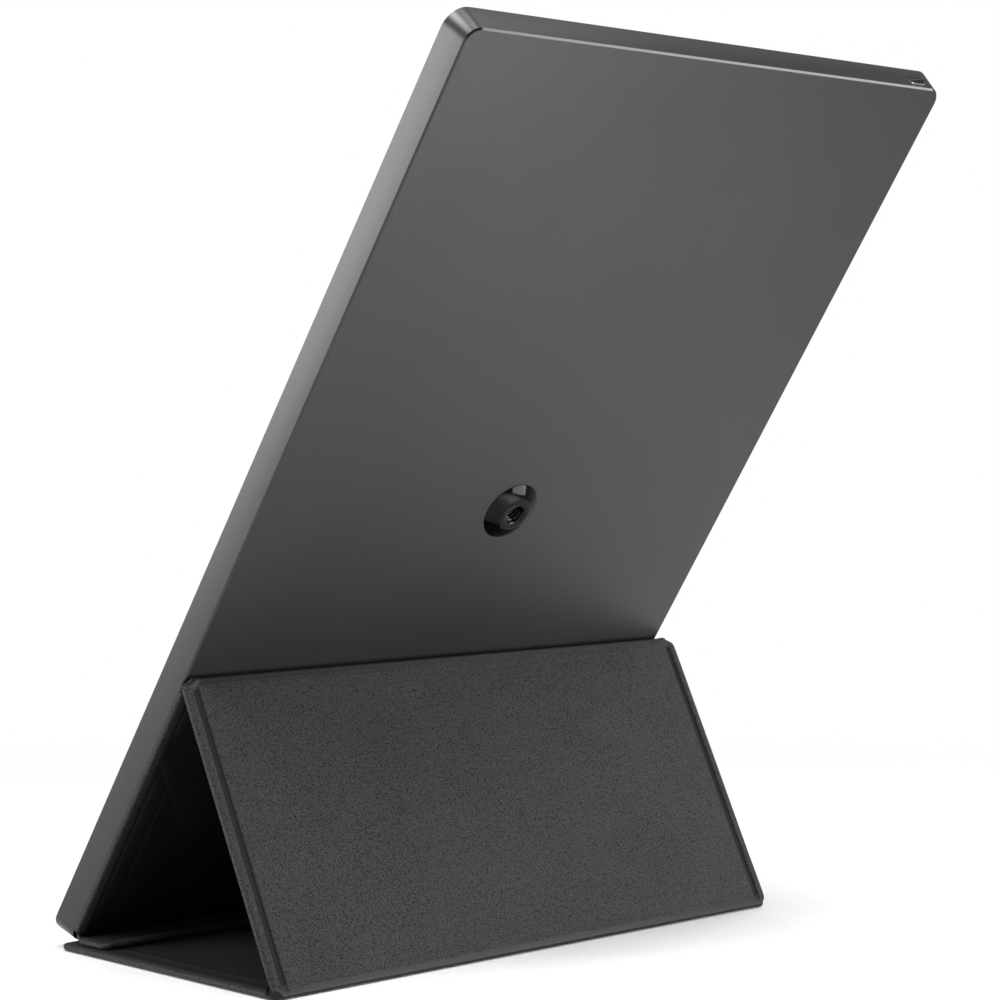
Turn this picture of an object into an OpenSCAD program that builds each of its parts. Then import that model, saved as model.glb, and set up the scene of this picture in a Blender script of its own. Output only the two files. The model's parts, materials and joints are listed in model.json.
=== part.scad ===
// Portable monitor standing in portrait on its fold-out cover.
// The origin is the centre of the cover's floor panel, on the surface that it stands on.
// +Z is up, the screen faces -Y and leans back, and the cover's folds run along X.

/* [Monitor] */
// Length of the monitor along its upright side
monitor_h = 360; // [352:1:380]
// Width of the monitor across its short side
monitor_w = 227; // [222:1:240]
// Thickness of the monitor
monitor_t = 9.2; // [9.2:0.1:12]
// How far the back face is set in from the front outline, all round
side_inset = 2.4; // [1.6:0.1:3]
// Width of the polished chamfer round the back face
edge_chamfer = 0.6; // [0.4:0.1:1.3]
// Corner radius of the front outline
corner_r = 7.5; // [5:0.5:12]
// Wall thickness of the rear cover
shell_wall = 1.2; // [0.8:0.1:1.3]
// Bezel beside the picture on the side away from the chin
bezel_side = 7.5; // [6.5:0.5:9]
// Bezel beside the picture on the chin side
bezel_chin = 25.9; // [24:0.1:30]
// Bezel over and under the picture
bezel_end = 7.9; // [7:0.1:10]

/* [Screen stack] */
// Depth of the bezel's face below the shell's rim
rim_lip = 0.1; // [0:0.05:0.3]
// Thickness of the bezel
bezel_t = 1.2; // [0.8:0.1:1.3]
// Thickness of the glass cell
cell_t = 1; // [0.7:0.1:1.1]
// Thickness of the diffuser sheets
diffuser_t = 0.3; // [0.2:0.1:0.4]
// Thickness of the light guide
guide_t = 0.6; // [0.4:0.1:0.7]
// Thickness of the reflector sheet
reflector_t = 0.2; // [0.1:0.1:0.3]
// Thickness of the steel tray
tray_t = 0.4; // [0.3:0.1:0.5]
// Border of the screen module on three sides
module_border = 3; // [2:0.5:3.5]
// Border of the screen module on the chin side
module_chin = 9; // [7:0.5:10]
// Width of the LED strip along the chin
led_w = 3; // [2:0.1:4]

/* [Sockets and keys] */
// Distance of the data socket's middle from the outline's side
usb_from_side = 13.6; // [12:0.1:20]
// Height of the data socket's middle over the back face
usb_depth = 3.5; // [3.4:0.1:3.6]
// Width of the data socket's steel sleeve
usb_w = 8.94; // [8.8:0.02:9]
// Thickness of the data socket's steel sleeve
usb_t = 3.26; // [3.2:0.02:3.3]
// Length of the data socket's steel sleeve
usb_len = 7.3; // [6.5:0.1:8]
// Length of each push key
key_len = 12; // [8:0.5:14]
// Thickness of the keys
key_t = 2.2; // [1.8:0.1:2.4]
// Travel of the push keys
key_travel = 0.35; // [0.2:0.05:0.4]
// How far the keys stand out of the edge
key_proud = 0.4; // [0.2:0.05:0.5]
// Length of the rocker key
rocker_len = 20; // [16:0.5:24]
// Distance of the first key's middle from the outline's side
key_from_side = 24; // [20:1:40]
// Distance from one key's middle to the next
key_pitch = 20; // [19:0.5:26]

/* [Camera screw socket] */
// Radius of the socket's cone where it leaves the back face
cone_r = 11; // [10:0.1:12]
// Radius of the flat face round the screw hole
face_r = 6.6; // [5.5:0.1:8]
// How far that face stands out of the back
cone_h = 2.8; // [2:0.1:3.2]
// How far the socket lies over the middle of the monitor's length
socket_rise = 1.3; // [-3:0.1:3]
// Radius of the screw hole's wall
screw_hole_r = 3.175; // [3.175:0.001:3.2]
// Radius of the flange that bears on the shell from inside
flange_r = 14; // [12:0.5:16]
// Thickness of that flange
flange_t = 1.1; // [0.8:0.1:1.3]

/* [Cover] */
// Width of the cover across
cover_w = 232.8; // [228:0.2:240]
// How far the monitor's middle lies to the side of the cover's middle
monitor_offset = 2.3; // [0:0.1:4]
// Thickness of the cover's panels
cover_t = 2.3; // [2.1:0.1:2.8]
// Length of the floor panel, with its fold
floor_len = 117.6; // [112:0.2:122]
// Length of the rear panel, from fold to fold
rear_len = 106; // [103:0.5:110]
// Length of the panel on the monitor's back, from fold to fold
inner_len = 110; // [107:0.5:114]
// Distance of the tab's fold from the floor panel's front edge
tab_from_front = 7.1; // [6:0.1:12]
// Length of the tab from its fold to its free edge
tab_len = 17; // [13:0.5:22]
// How much narrower the panel on the monitor's back is on each side
inner_trim = 1.5; // [0.5:0.1:3]
// Thickness of the leather skin
skin_t = 0.8; // [0.6:0.1:0.9]
// Thickness of the soft lining
lining_t = 0.5; // [0.3:0.1:0.6]
// Width of the skin's turned-up edge round each board
hem_w = 1.4; // [1:0.1:2]
// Thickness of the folds, where there is no board
crease_t = 1.2; // [0.9:0.1:1.4]
// Reach of each fold from its axis to the panel's board
crease_reach = 3; // [2.8:0.1:4]
// Corner radius of the panels
panel_r = 3.5; // [2:0.5:5]
// Width of the rim outside the pressed groove
rim_w = 3.3; // [2.5:0.1:4.5]
// Width of the pressed groove
groove_w = 2.6; // [1.5:0.1:3.2]
// Rounding of the leather where it turns over the boards' edges
edge_round = 0.5; // [0.3:0.05:0.7]
// Depth of the pressed groove
groove_depth = 0.4; // [0.2:0.05:0.5]
// How far the folds stop short of the narrower panel's sides
crease_trim = 1.9; // [1.5:0.1:4]
// Width of the lines pressed into the lining
line_w = 1.6; // [1:0.1:2.5]
// Depth of the lines pressed into the lining
line_depth = 0.28; // [0.1:0.02:0.3]
// Clearance between pieces that lie on each other but move apart
lay_gap = 0.3; // [0.3:0.05:0.5]

/* [Magnets] */
// Length of each bar magnet
magnet_len = 24; // [16:1:30]
// Width of each bar magnet
magnet_w = 8; // [6:0.5:8]
// Distance of the magnets from the middle, across
magnet_x = 78; // [60:1:85]
// Thickness of the magnets in the monitor
shell_magnet_t = 1.4; // [1:0.1:2]

/* [Boards and fasteners] */
// Thickness of the circuit boards
pcb_t = 0.8; // [0.6:0.1:1]
// Width of the main board
board_w = 54; // [44:1:60]
// Length of the main board
board_len = 72; // [60:1:80]
// Length of the screen's timing board
timing_len = 182; // [140:1:200]
// Width of the screen's timing board
timing_w = 9; // [7:0.5:10]
// Gap between the timing board and the main board
timing_gap = 12; // [8:0.5:16]
// Gap round the main board, to the shell's walls
board_gap = 1; // [0.6:0.1:1.5]
// Radius of the small screws' shanks
screw_r = 0.8; // [0.7:0.05:0.9]
// Radius of the small screws' heads
head_r = 1.5; // [1.3:0.1:1.8]
// Thickness of the small screws' heads
head_t = 0.6; // [0.4:0.1:0.7]
// Radius of the shell's screw posts
post_r = 2.2; // [2:0.1:2.6]
// Distance of the tray's posts from the screen module's chin side
post_from_chin = 26; // [22:1:40]
// Distance of the tray's posts from the screen module's other side
post_from_side = 14; // [10:1:20]

/* [Hidden] */
$fn = 48;

eps = 0.01;
fit_gap = 0.1;
board_t = cover_t - skin_t - lining_t;

// Heights over the monitor's back face, from the front of the screen stack to its tray
bezel_top = monitor_t - rim_lip;
bezel_bottom = bezel_top - bezel_t;
cell_bottom = bezel_bottom - cell_t;
diffuser_bottom = cell_bottom - diffuser_t;
guide_bottom = diffuser_bottom - guide_t;
reflector_bottom = guide_bottom - reflector_t;
tray_bottom = reflector_bottom - tray_t;

// The picture and the screen module, in the monitor's own frame with x = 0 at its middle
active_w = monitor_w - bezel_side - bezel_chin;
active_h = monitor_h - 2 * bezel_end;
active_left = -monitor_w / 2 + bezel_chin;
active_foot = bezel_end;
module_w = active_w + module_border + module_chin;
module_h = active_h + 2 * module_border;
module_left = active_left - module_chin;
module_foot = active_foot - module_border;
tray_wall = 0.5;
film_gap = 0.1;

// Side faces taper from the front outline to the back face
function inset_at(depth) = side_inset * (1 - depth / monitor_t);
function wall_inset(depth) = inset_at(depth) + shell_wall;

// The folded cover is a triangle of three fold axes, as points in Y and Z. Its corners at the heel
// and at the tab follow from the floor panel, and the other two panels' lengths fix the ridge.
heel_y = floor_len / 2 - cover_t / 2;
heel_z = cover_t / 2;
fold_y = -floor_len / 2 + tab_from_front;
fold_z = cover_t + lay_gap + cover_t;
panel_mid = lay_gap + cover_t / 2;
fold_off = lay_gap + cover_t;
fold_step = fold_off - panel_mid;
floor_side = norm([heel_y - fold_y, heel_z - fold_z]);
back_side = norm([inner_len, fold_step]);
fold_corner = acos(
    (floor_side * floor_side + back_side * back_side - rear_len * rear_len) / (2 * floor_side * back_side)
);
ridge_dir = fold_corner + atan2(heel_z - fold_z, heel_y - fold_y);
ridge_y = fold_y + back_side * cos(ridge_dir);
ridge_z = fold_z + back_side * sin(ridge_dir);
heel_angle = atan2(ridge_z - heel_z, heel_y - ridge_y);

// The monitor's back lies on the panel between the tab and the ridge, and leans with it
back_angle = ridge_dir - atan2(fold_step, inner_len);
lean = 90 - back_angle;

// Where the monitor stands: its lowest edge is the foot of the chamfer, just over the floor panel
foot_inset = inset_at(edge_chamfer);
foot_rise = foot_inset * cos(lean) + edge_chamfer * sin(lean);
back_z = cover_t + lay_gap - foot_rise;
fold_up = (fold_z - back_z + fold_off * sin(lean)) / cos(lean);
back_y = fold_y - fold_up * sin(lean) - fold_off * cos(lean);
ridge_up = fold_up + inner_len;
inner_w = cover_w - 2 * inner_trim;
floor_board_len = floor_len - cover_t / 2 - crease_reach;

// Data socket, main board and keys, in the monitor's frame
usb_x = -monitor_w / 2 + usb_from_side;
usb_mouth = monitor_h - inset_at(usb_depth) - 0.1;
usb_wall = 0.3;
board_z = usb_depth - pcb_t / 2;
board_left = -monitor_w / 2 + wall_inset(board_z) + board_gap;
board_top = monitor_h - wall_inset(board_z) - board_gap;
board_foot = board_top - board_len;
timing_top = board_foot - timing_gap;
board_post = 4;
can_w = 26;
can_len = 30;
can_wall = 0.3;
can_top = tray_bottom - 0.4;

key_depth = 4;
key_gap = 0.2;
key_flange = 0.7;
key_face = inset_at(key_depth) - key_proud;
key_back = wall_inset(key_depth - key_t / 2) + lay_gap + key_flange;
switch_front = key_back + key_travel + lay_gap;
switch_len = 3;
switch_w = 4.5;
switch_t = 2.4;
switch_foot = key_depth - switch_t / 2;
button_z = switch_foot - pcb_t;
key_x = -monitor_w / 2 + key_from_side;
rocker_x = key_x + 2 * key_pitch + (rocker_len - key_len) / 2;
button_left = key_x - key_len / 2 - 2;
button_right = rocker_x + rocker_len / 2 + 2;
button_len = 9;
pin_r = 0.6;
pin_gap = 0.05;
pin_up = switch_front + 2;
rocker_switch_x = rocker_len / 2 - switch_w / 2 - 1;

// Camera screw socket
socket_mid = 0;
socket_up = monitor_h / 2 + socket_rise;
insert_top = tray_bottom - lay_gap;
barrel_r = screw_hole_r + 3.2;
bracket_w = 56;
bracket_len = 34;
bracket_t = 0.8;
bracket_x = 23;
bracket_y = 12;
flange_bottom = shell_wall;
flange_top = flange_bottom + flange_t;

// Heights along the monitor's back of the two rows of magnets
inner_magnet_low = fold_up + crease_reach + 16;
inner_magnet_high = ridge_up - crease_reach - 16;

// The folds' axes in Y and Z, the foot of the back face, and the rocker's pin in the monitor's frame
echo(ridge = [ridge_y, ridge_z], heel = [heel_y, heel_z], fold = [fold_y, fold_z]);
echo(back = [back_y, back_z], lean = lean, heel_angle = heel_angle);
echo(rocker_x = rocker_x, pin_up = pin_up);

// Folded up, the rear panel comes to rest over the socket's face: its angle to the back, and its swing
face_run = socket_up - face_r - ridge_up;
face_angle = asin(cone_h / face_run);
echo(socket_up = socket_up, rear_swing = back_angle + heel_angle - face_angle);

// ---- Placing and outlines ----

module in_monitor() {
    translate([monitor_offset, back_y, back_z]) rotate([back_angle, 0, 0]) children();
}

// Panel frames: z = 0 is the leather face and z = cover_t the lined face
module in_floor() {
    translate([0, -floor_len / 2, 0]) children();
}

module in_rear() {
    translate([0, heel_y, heel_z]) rotate([180 - heel_angle, 0, 0])
        translate([0, 0, -cover_t / 2]) children();
}

module in_inner() {
    translate([0, ridge_y, ridge_z]) rotate([180 + back_angle, 0, 0])
        translate([0, 0, -cover_t / 2]) children();
}

module in_tab() {
    translate([0, fold_y, cover_t + lay_gap]) children();
}

// A rectangle about x = 0 that starts at y = 0, with round corners
module round_rect(w, len, r) {
    translate([-w / 2, r]) square([w, len - 2 * r]);
    translate([-w / 2 + r, 0]) square([w - 2 * r, len]);
    for (x = [-w / 2 + r, w / 2 - r], y = [r, len - r]) translate([x, y]) circle(r);
}

// A slot along x with round ends
module stadium(w, t) {
    square([w - t, t], center = true);
    for (side = [-1, 1]) translate([side * (w - t) / 2, 0]) circle(t / 2);
}

// A section in Y and Z, drawn out along X about the middle
module along_x(w) {
    translate([-w / 2, 0, 0]) rotate([90, 0, 90]) linear_extrude(w) children();
}

// ---- Monitor ----

// A thin slice of the monitor's outline, set in and raised over the back face
module outline_slice(inset, depth) {
    translate([0, inset, depth]) linear_extrude(eps)
        round_rect(monitor_w - 2 * inset, monitor_h - 2 * inset, corner_r - inset, $fn = 32);
}

module shell_outside() {
    hull() {
        outline_slice(side_inset + edge_chamfer, 0);
        outline_slice(inset_at(edge_chamfer), edge_chamfer);
        outline_slice(0, monitor_t - eps);
    }
}

module shell_cavity() {
    hull() {
        outline_slice(wall_inset(shell_wall), shell_wall);
        outline_slice(shell_wall, monitor_t);
    }
}

module post(x, y, foot, top, hole_r) {
    translate([x, y, foot]) difference() {
        cylinder(r = post_r, h = top - foot);
        if (hole_r > 0) translate([0, 0, 0.4]) cylinder(r = hole_r, h = top - foot);
    }
}

function board_posts() = [
    for (x = [board_left + board_post, board_left + board_w - board_post],
         y = [board_foot + board_post, board_top - usb_len - board_post]) [x, y]
];
function bracket_posts() = [
    for (x = [-bracket_x, bracket_x], y = [-bracket_y, bracket_y]) [socket_mid + x, socket_up + y]
];
function button_posts() = [
    for (x = [(button_left + key_x + key_len / 2 + 1) / 2 + 7, button_right - 3])
        [x, switch_front + button_len - 3]
];
// Posts that carry the screen module's tray, clear of the boards and the socket
function over_board(x, y) = x < board_left + board_w + 2 * post_r && y > board_foot - 2 * post_r;
function over_bracket(x, y) = abs(x - socket_mid) < bracket_w / 2 + 2 * post_r && abs(y - socket_up) < bracket_len;
function tray_posts() = [
    for (x = [module_left + post_from_chin, socket_mid, module_left + module_w - post_from_side],
         y = [for (k = [1:5]) module_foot + module_h * k / 6])
        if (!over_board(x, y) && !over_bracket(x, y)) [x, y]
];

module rear_cover() {
    color([0.30, 0.30, 0.32]) in_monitor() {
        difference() {
            shell_outside();
            shell_cavity();
            translate([socket_mid, socket_up, -1]) cylinder(r = cone_r + fit_gap, h = shell_wall + 2);
            translate([usb_x, monitor_h + 1, usb_depth]) rotate([90, 0, 0])
                linear_extrude(side_inset + shell_wall + 3) stadium(usb_w + 2 * fit_gap, usb_t + 2 * fit_gap);
            for (k = [0, 1]) translate([key_x + k * key_pitch, key_back, key_depth]) rotate([90, 0, 0])
                linear_extrude(key_back + 1) stadium(key_len + 2 * key_gap, key_t + 2 * key_gap);
            translate([rocker_x, key_back, key_depth]) rotate([90, 0, 0])
                linear_extrude(key_back + 1) stadium(rocker_len + 2 * key_gap, key_t + 2 * key_gap);
        }
        for (p = board_posts()) post(p[0], p[1], shell_wall - eps, board_z, screw_r + pin_gap);
        for (p = button_posts()) post(p[0], p[1], shell_wall - eps, button_z, 0);
        for (p = bracket_posts()) post(p[0], p[1], shell_wall - eps, flange_top, screw_r + pin_gap);
        for (p = tray_posts()) post(p[0], p[1], shell_wall - eps, tray_bottom, 0);
    }
}

module front_bezel() {
    gap = shell_wall + inset_at(bezel_bottom) + fit_gap;
    color([0.06, 0.06, 0.065]) in_monitor() translate([0, 0, bezel_bottom]) linear_extrude(bezel_t)
        difference() {
            translate([0, gap]) round_rect(monitor_w - 2 * gap, monitor_h - 2 * gap, corner_r - gap);
            translate([active_left, active_foot]) square([active_w, active_h]);
        }
}

// A rectangular sheet of the screen module, set in from the tray's outside
module module_sheet(inset, bottom, t) {
    in_monitor() translate([module_left + inset, module_foot + inset, bottom])
        cube([module_w - 2 * inset, module_h - 2 * inset, t]);
}

module lcd_cell() {
    color([0.03, 0.03, 0.04]) module_sheet(tray_wall + film_gap, cell_bottom, cell_t);
}

module diffuser_sheets() {
    color([0.9, 0.9, 0.9]) module_sheet(tray_wall + film_gap, diffuser_bottom, diffuser_t);
}

module light_guide() {
    inset = tray_wall + film_gap;
    color([0.85, 0.9, 0.92]) in_monitor()
        translate([module_left + inset + led_w, module_foot + inset, guide_bottom])
            cube([module_w - 2 * inset - led_w, module_h - 2 * inset, guide_t]);
}

module led_strip() {
    inset = tray_wall + film_gap;
    count = 36;
    pitch = (module_h - 2 * inset) / count;
    rail = 0.2;
    color([0.95, 0.9, 0.6]) in_monitor() translate([module_left + inset, module_foot + inset, guide_bottom]) {
        cube([rail, module_h - 2 * inset, guide_t]);
        for (k = [0 : count - 1]) translate([rail - eps, (k + 0.2) * pitch, 0])
            cube([led_w - rail - film_gap, 0.6 * pitch, guide_t]);
    }
}

module reflector_sheet() {
    color([0.95, 0.95, 0.95]) module_sheet(tray_wall + film_gap, reflector_bottom, reflector_t);
}

module panel_tray() {
    color([0.6, 0.61, 0.62]) difference() {
        module_sheet(0, tray_bottom, bezel_bottom - tray_bottom);
        module_sheet(tray_wall, reflector_bottom, bezel_bottom - reflector_bottom + 1);
    }
}

module timing_board() {
    color([0.05, 0.25, 0.12]) in_monitor()
        translate([module_left, timing_top - timing_len, tray_bottom - pcb_t])
            cube([timing_w, timing_len, pcb_t]);
}

module main_board() {
    notch = usb_w + 2 * fit_gap;
    color([0.04, 0.2, 0.1]) in_monitor() difference() {
        translate([board_left, board_foot, board_z]) cube([board_w, board_len, pcb_t]);
        translate([usb_x - notch / 2, usb_mouth - usb_len - fit_gap, board_z - 1])
            cube([notch, usb_len + 2, pcb_t + 2]);
        for (p = board_posts()) translate([p[0], p[1], board_z - 1])
            cylinder(r = screw_r + fit_gap, h = pcb_t + 2);
    }
}

module shield_can() {
    left = board_left + board_w / 2 - can_w / 2;
    foot = board_foot + 20;
    height = can_top - board_z - pcb_t;
    color([0.7, 0.7, 0.72]) in_monitor() translate([left, foot, board_z + pcb_t]) difference() {
        cube([can_w, can_len, height]);
        translate([can_wall, can_wall, -1])
            cube([can_w - 2 * can_wall, can_len - 2 * can_wall, height + 1 - can_wall]);
    }
}

module usb_c_sleeve() {
    color([0.55, 0.55, 0.57]) in_monitor() translate([usb_x, usb_mouth, usb_depth]) rotate([90, 0, 0])
        difference() {
            linear_extrude(usb_len) stadium(usb_w, usb_t);
            translate([0, 0, -1]) linear_extrude(usb_len + 1 - usb_wall)
                stadium(usb_w - 2 * usb_wall, usb_t - 2 * usb_wall);
        }
}

module usb_c_tongue() {
    tongue_w = 6.7;
    tongue_t = 0.7;
    tongue_back = 1.2;
    color([0.08, 0.08, 0.08]) in_monitor()
        translate([usb_x - tongue_w / 2, usb_mouth - usb_len + usb_wall, usb_depth - tongue_t / 2])
            cube([tongue_w, usb_len - usb_wall - tongue_back, tongue_t]);
}

module display_flex() {
    flex_t = 0.2;
    flex_w = 7;
    high = tray_bottom - pcb_t;
    low = board_z + pcb_t;
    color([0.75, 0.5, 0.2]) in_monitor() translate([module_left + 1, 0, 0]) rotate([90, 0, 90])
        linear_extrude(flex_w) polygon([
            [timing_top - 10, high - flex_t], [timing_top + 1, high - flex_t], [board_foot - 1, low],
            [board_foot + 10, low], [board_foot + 10, low + flex_t], [board_foot - 1, low + flex_t],
            [timing_top + 1, high], [timing_top - 10, high]
        ]);
}

module button_board() {
    color([0.05, 0.25, 0.12]) in_monitor() translate([button_left, switch_front, button_z])
        cube([button_right - button_left, button_len, pcb_t]);
}

module tact_switch(x) {
    lip = 0.3;
    translate([x - switch_w / 2, switch_front + lip, switch_foot])
        cube([switch_w, switch_len - lip, switch_t]);
    translate([x, switch_front + lip + eps, key_depth]) rotate([90, 0, 0]) cylinder(r = 0.6, h = lip + eps);
}

module tact_switches() {
    color([0.15, 0.15, 0.16]) in_monitor() {
        tact_switch(key_x);
        tact_switch(key_x + key_pitch);
        for (side = [-1, 1]) tact_switch(rocker_x + side * rocker_switch_x);
    }
}

module rocker_pin() {
    color([0.7, 0.7, 0.72]) in_monitor() translate([rocker_x, pin_up, switch_foot])
        cylinder(r = pin_r, h = switch_t);
}

// The bar of a key, with its outer face following the edge's slope
module key_bar(len) {
    slope = atan(side_inset / monitor_t);
    difference() {
        translate([0, key_back, key_depth]) rotate([90, 0, 0])
            linear_extrude(key_back + 2) stadium(len, key_t);
        translate([-len, key_face, key_depth]) rotate([slope, 0, 0])
            translate([0, -10, -5]) cube([2 * len, 10, 10]);
    }
    translate([-len / 2 - 1, key_back - key_flange, key_depth - key_t / 2])
        cube([len + 2, key_flange, key_t]);
}

module power_button() {
    color([0.12, 0.12, 0.13]) in_monitor() translate([key_x, 0, 0]) key_bar(key_len);
}

module menu_button() {
    color([0.12, 0.12, 0.13]) in_monitor() translate([key_x + key_pitch, 0, 0]) key_bar(key_len);
}

module rocker_key() {
    ear_w = 4;
    ear_t = key_t - 0.4;
    color([0.12, 0.12, 0.13]) in_monitor() translate([rocker_x, 0, 0]) difference() {
        union() {
            key_bar(rocker_len);
            translate([-ear_w / 2, key_back - eps, key_depth - ear_t / 2])
                cube([ear_w, pin_up - key_back + eps, ear_t]);
            translate([0, pin_up, key_depth - ear_t / 2]) cylinder(r = ear_w / 2, h = ear_t);
        }
        translate([0, pin_up, key_depth - key_t]) cylinder(r = pin_r + pin_gap, h = 2 * key_t);
    }
}

module tripod_insert() {
    // A cone that stands out of the back round a blind hole with a countersunk mouth
    floor_t = 0.3;
    mouth = 0.6;
    step = 0.2;
    color([0.03, 0.03, 0.03]) in_monitor() translate([socket_mid, socket_up, 0]) rotate_extrude() polygon([
        [0, insert_top - floor_t], [screw_hole_r, insert_top - floor_t], [screw_hole_r, mouth - cone_h],
        [screw_hole_r + mouth, -cone_h], [face_r, -cone_h], [cone_r, -step], [cone_r, flange_bottom],
        [flange_r, flange_bottom], [flange_r, flange_top], [barrel_r, flange_top],
        [barrel_r, insert_top], [0, insert_top]
    ]);
}

module tripod_bracket() {
    color([0.62, 0.62, 0.64]) in_monitor() translate([socket_mid, socket_up, flange_top]) difference() {
        translate([0, -bracket_len / 2, 0]) linear_extrude(bracket_t) round_rect(bracket_w, bracket_len, 3);
        translate([0, 0, -1]) cylinder(r = barrel_r + fit_gap, h = bracket_t + 2);
        for (x = [-bracket_x, bracket_x], y = [-bracket_y, bracket_y]) translate([x, y, -1])
            cylinder(r = screw_r + fit_gap, h = bracket_t + 2);
    }
}

// A small screw whose head bears at the given height
module small_screw(x, y, seat, tip) {
    translate([x, y, tip]) cylinder(r = screw_r, h = seat - tip + eps);
    translate([x, y, seat]) difference() {
        cylinder(r = head_r, h = head_t);
        translate([0, 0, head_t / 2]) cylinder(r = 0.6, h = head_t, $fn = 6);
    }
}

module tripod_screws() {
    color([0.2, 0.2, 0.2]) in_monitor()
        for (p = bracket_posts()) small_screw(p[0], p[1], flange_top + bracket_t, shell_wall + 0.5);
}

module board_screws() {
    color([0.2, 0.2, 0.2]) in_monitor()
        for (p = board_posts()) small_screw(p[0], p[1], board_z + pcb_t, shell_wall + 0.5);
}

// Bar magnets of the monitor and of the panel on its back lie opposite each other
module back_magnets(x0, bottom, t) {
    for (x = [-magnet_x, magnet_x], y = [inner_magnet_low, inner_magnet_high])
        translate([x0 + x - magnet_len / 2, y - magnet_w / 2, bottom]) cube([magnet_len, magnet_w, t]);
}

module monitor_magnets() {
    color([0.75, 0.75, 0.77]) in_monitor() back_magnets(-monitor_offset, shell_wall, shell_magnet_t);
}

// ---- Cover ----

// Outline of a panel, set in all round. Its round corners lie past the fold where an end is folded,
// as [near, far] with 1 for a fold, and the fold cuts them off.
module panel_outline(w, len, folds, inset, r, gap = 0) {
    past = rim_w + groove_w + panel_r;
    low = inset - past * folds[0];
    high = len - inset + past * folds[1];
    intersection() {
        translate([0, low]) round_rect(w - 2 * inset, high - low, r);
        translate([-w / 2, gap]) square([w, len - 2 * gap]);
    }
}

// A panel's whole thickness, with its free edges rounded over
module panel_block(w, len, folds) {
    hull() for (slice = [[edge_round, 0], [0, edge_round], [0, cover_t - edge_round], [edge_round, cover_t]])
        translate([0, 0, max(0, slice[1] - eps)]) linear_extrude(eps)
            panel_outline(w, len, folds, slice[0], panel_r - slice[0], $fn = 32);
}

// Leather skin of one panel: an outer face with a pressed groove, and a hem round the board
module panel_skin(w, len, folds) {
    difference() {
        panel_block(w, len, folds);
        translate([0, 0, skin_t]) linear_extrude(cover_t)
            panel_outline(w, len, folds, hem_w, panel_r - hem_w, hem_w);
        translate([0, 0, -eps]) linear_extrude(groove_depth + eps) difference() {
            panel_outline(w, len, folds, rim_w, panel_r, -eps);
            panel_outline(w, len, folds, rim_w + groove_w, panel_r / 2);
        }
    }
}

// A layer inside the hem, with room for magnets where they are given as [x, y]
module panel_layer(w, len, folds, bottom, t, magnets = []) {
    inset = hem_w + fit_gap;
    translate([0, 0, bottom]) difference() {
        linear_extrude(t) panel_outline(w, len, folds, inset, panel_r - hem_w, inset);
        for (m = magnets) translate([m[0] - magnet_len / 2 - fit_gap, m[1] - magnet_w / 2 - fit_gap, -1])
            cube([magnet_len + 2 * fit_gap, magnet_w + 2 * fit_gap, t + 2]);
    }
}

// The lining with lines pressed into it, each from one point to another, and the same on the -X side
module panel_lining(w, len, folds, lines) {
    difference() {
        panel_layer(w, len, folds, skin_t + board_t, lining_t);
        for (side = [0, 1], l = lines) mirror([side, 0, 0])
            translate([l[0][0], l[0][1], cover_t - line_depth])
                rotate([0, 0, atan2(l[1][1] - l[0][1], l[1][0] - l[0][0])])
                    translate([0, -line_w / 2, 0]) cube([norm(l[1] - l[0]), line_w, 1]);
    }
}

module panel_magnets(magnets) {
    for (m = magnets) translate([m[0] - magnet_len / 2, m[1] - magnet_w / 2, skin_t])
        cube([magnet_len, magnet_w, board_t]);
}

tab_board_len = tab_len - crease_reach;
rear_board_len = rear_len - 2 * crease_reach;
inner_board_len = inner_len - 2 * crease_reach;
tab_magnet_y = tab_board_len / 2;
tab_magnet_spots = [for (x = [-magnet_x, 0, magnet_x]) [x, tab_magnet_y]];
floor_magnet_y = fold_y + crease_reach + tab_magnet_y + floor_len / 2;
floor_magnet_spots = [for (m = tab_magnet_spots) [m[0], floor_magnet_y]];
inner_magnet_spots = [
    for (x = [-magnet_x, magnet_x], y = [inner_magnet_low, inner_magnet_high])
        [x, ridge_up - y - crease_reach]
];

// Which ends of each panel are folds, as [near, far]
between_folds = [1, 1];
fold_behind = [0, 1];
fold_in_front = [1, 0];

// Lines pressed into the linings, as [start, end] on the +X side. The slanting ones let the same cover
// fold up round the monitor's long side.
outer_line = cover_w / 2 - 10.4;
inner_line = inner_w / 2 - 4.9;
second_line = inner_w / 2 - 11.6;
line_end_gap = 3;
slant_foot = [inner_w / 2 - 1, 27];
slant_head = [60, inner_board_len - line_end_gap / 2];
floor_lines = [[[outer_line, 24], [outer_line, floor_board_len - 16]]];
rear_lines = [[[outer_line, 12], [outer_line, rear_board_len - 12]]];
inner_lines = [
    [[inner_line, 37], [inner_line, inner_board_len - line_end_gap]],
    [[inner_line, 5], [inner_line, 21]],
    [[second_line, 43], [second_line, inner_board_len - line_end_gap]],
    [slant_foot, slant_head]
];
tab_lines = [[[65, -1], [76, tab_board_len + 1]]];

leather = [0.11, 0.11, 0.12];
felt = [0.07, 0.07, 0.075];
greyboard = [0.45, 0.42, 0.38];
steel = [0.75, 0.75, 0.77];

module inner_skin() {
    color(leather) in_inner() translate([0, crease_reach, 0])
        panel_skin(inner_w, inner_board_len, between_folds);
}

module inner_board() {
    color(greyboard) in_inner() translate([0, crease_reach, 0])
        panel_layer(inner_w, inner_board_len, between_folds, skin_t, board_t, inner_magnet_spots);
}

module inner_lining() {
    color(felt) in_inner() translate([0, crease_reach, 0])
        panel_lining(inner_w, inner_board_len, between_folds, inner_lines);
}

module inner_magnets() {
    color(steel) in_inner() translate([0, crease_reach, 0]) panel_magnets(inner_magnet_spots);
}

module rear_skin() {
    color(leather) in_rear() translate([0, crease_reach, 0])
        panel_skin(cover_w, rear_board_len, between_folds);
}

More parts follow.
